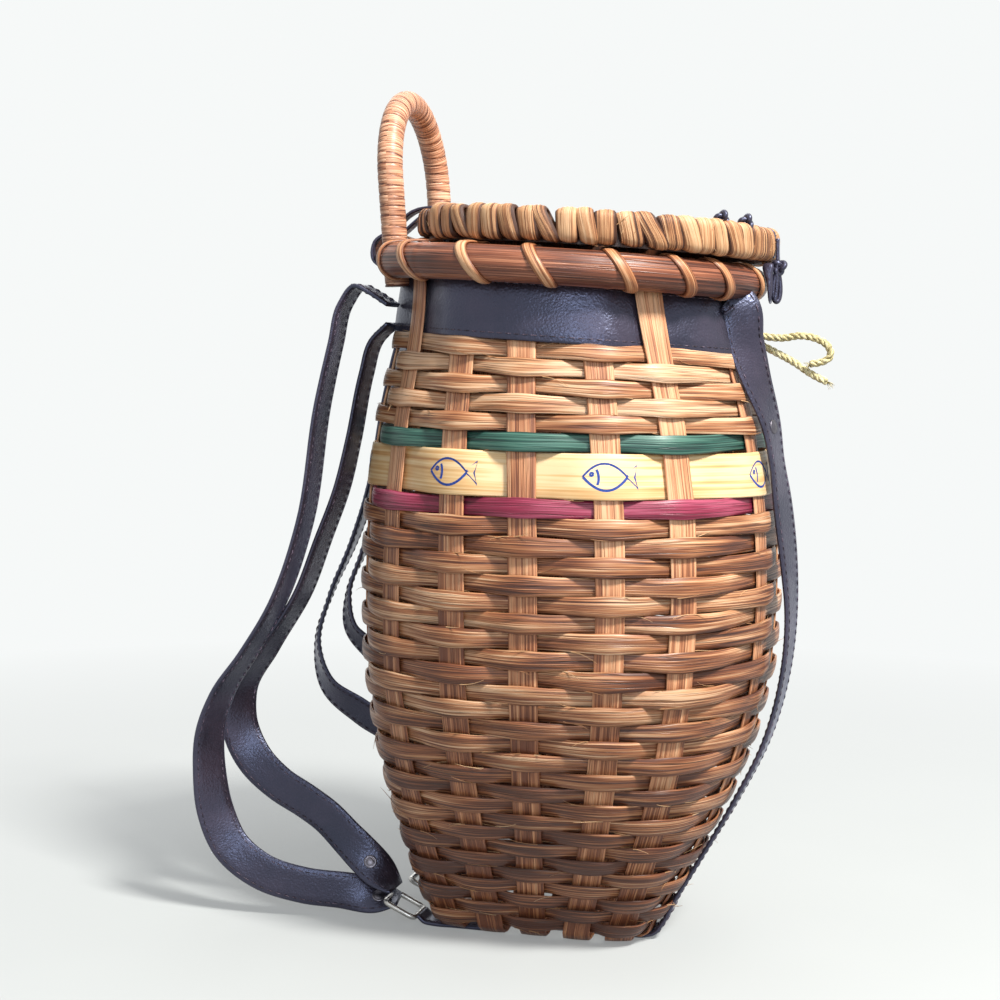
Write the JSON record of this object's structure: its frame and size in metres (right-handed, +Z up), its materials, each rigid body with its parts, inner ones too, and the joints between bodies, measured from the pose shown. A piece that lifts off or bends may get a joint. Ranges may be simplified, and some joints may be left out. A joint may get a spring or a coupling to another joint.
{
  "type": "wicker fishing creel",
  "caption": "Tall woven splint fishing creel with a round hinged lid, lashed pole rim, arched handle, leather band, loose backpack straps and a thong latch.",
  "frame": {"origin": "middle of the base on the underside of the strap that runs beneath it", "axes": "+Z up, +X to the front where the latch hangs, +Y to the far side"},
  "size_m": [0.3273, 0.2138, 0.4373],
  "materials": {
    "stake_cane": "split ash splint, satin",
    "weaver_cane": "split ash weaver, darkened varnish",
    "burgundy_cane": "dyed burgundy splint",
    "green_cane": "dyed dark green splint",
    "pale_splint": "wide pale splint, satin",
    "pole_cane": "round pole, reddish brown varnish",
    "wrap_cane": "raffia and flat cane wrap",
    "leather": "dark leather with a soft sheen",
    "nickel": "worn nickel wire",
    "twine": "jute twine"
  },
  "bodies": {
    "basket": {"stakes_long_way": "stake_cane", "stakes_short_way": "stake_cane", "lower_weave": "weaver_cane", "burgundy_row": "burgundy_cane", "wood_band": "pale_splint", "green_row": "green_cane", "upper_weave": "weaver_cane", "leather_band": "leather", "outer_rim": "pole_cane", "back_rim": "pole_cane", "inner_rim": "stake_cane", "rim_lashings": "wrap_cane", "back_lashing": "wrap_cane", "handle": "wrap_cane", "hinge_thongs": "leather", "front_strap": "leather", "near_strap_outer": "leather", "near_strap_inner": "leather", "far_strap_outer": "leather", "far_strap_inner": "leather", "harness_rings": "nickel", "ring_tabs": "leather", "twine_upper_end": "twine", "twine_lower_end": "twine"},
    "lid": {"lid_hoop": "wrap_cane", "lid_under_hoop": "weaver_cane", "lid_splints_front_to_back": "stake_cane", "lid_splints_side_to_side": "stake_cane", "latch_anchor": "leather"},
    "latch": {"latch_thong": "leather", "latch_toggle": "leather"}
  },
  "joints": [
    {"name": "lid_hinge", "type": "hinge", "parent": "basket", "child": "lid", "pos_m": [-0.06829, 0, 0.37001], "axis": [0, -1, 0], "range_deg": [0, 78], "deforming": ["hinge_thongs"]},
    {"name": "latch_swing", "type": "hinge", "parent": "lid", "child": "latch", "pos_m": [0.11134, -0.005, 0.35979], "axis": [0, -1, 0], "range_deg": [0, 70]}
  ]
}
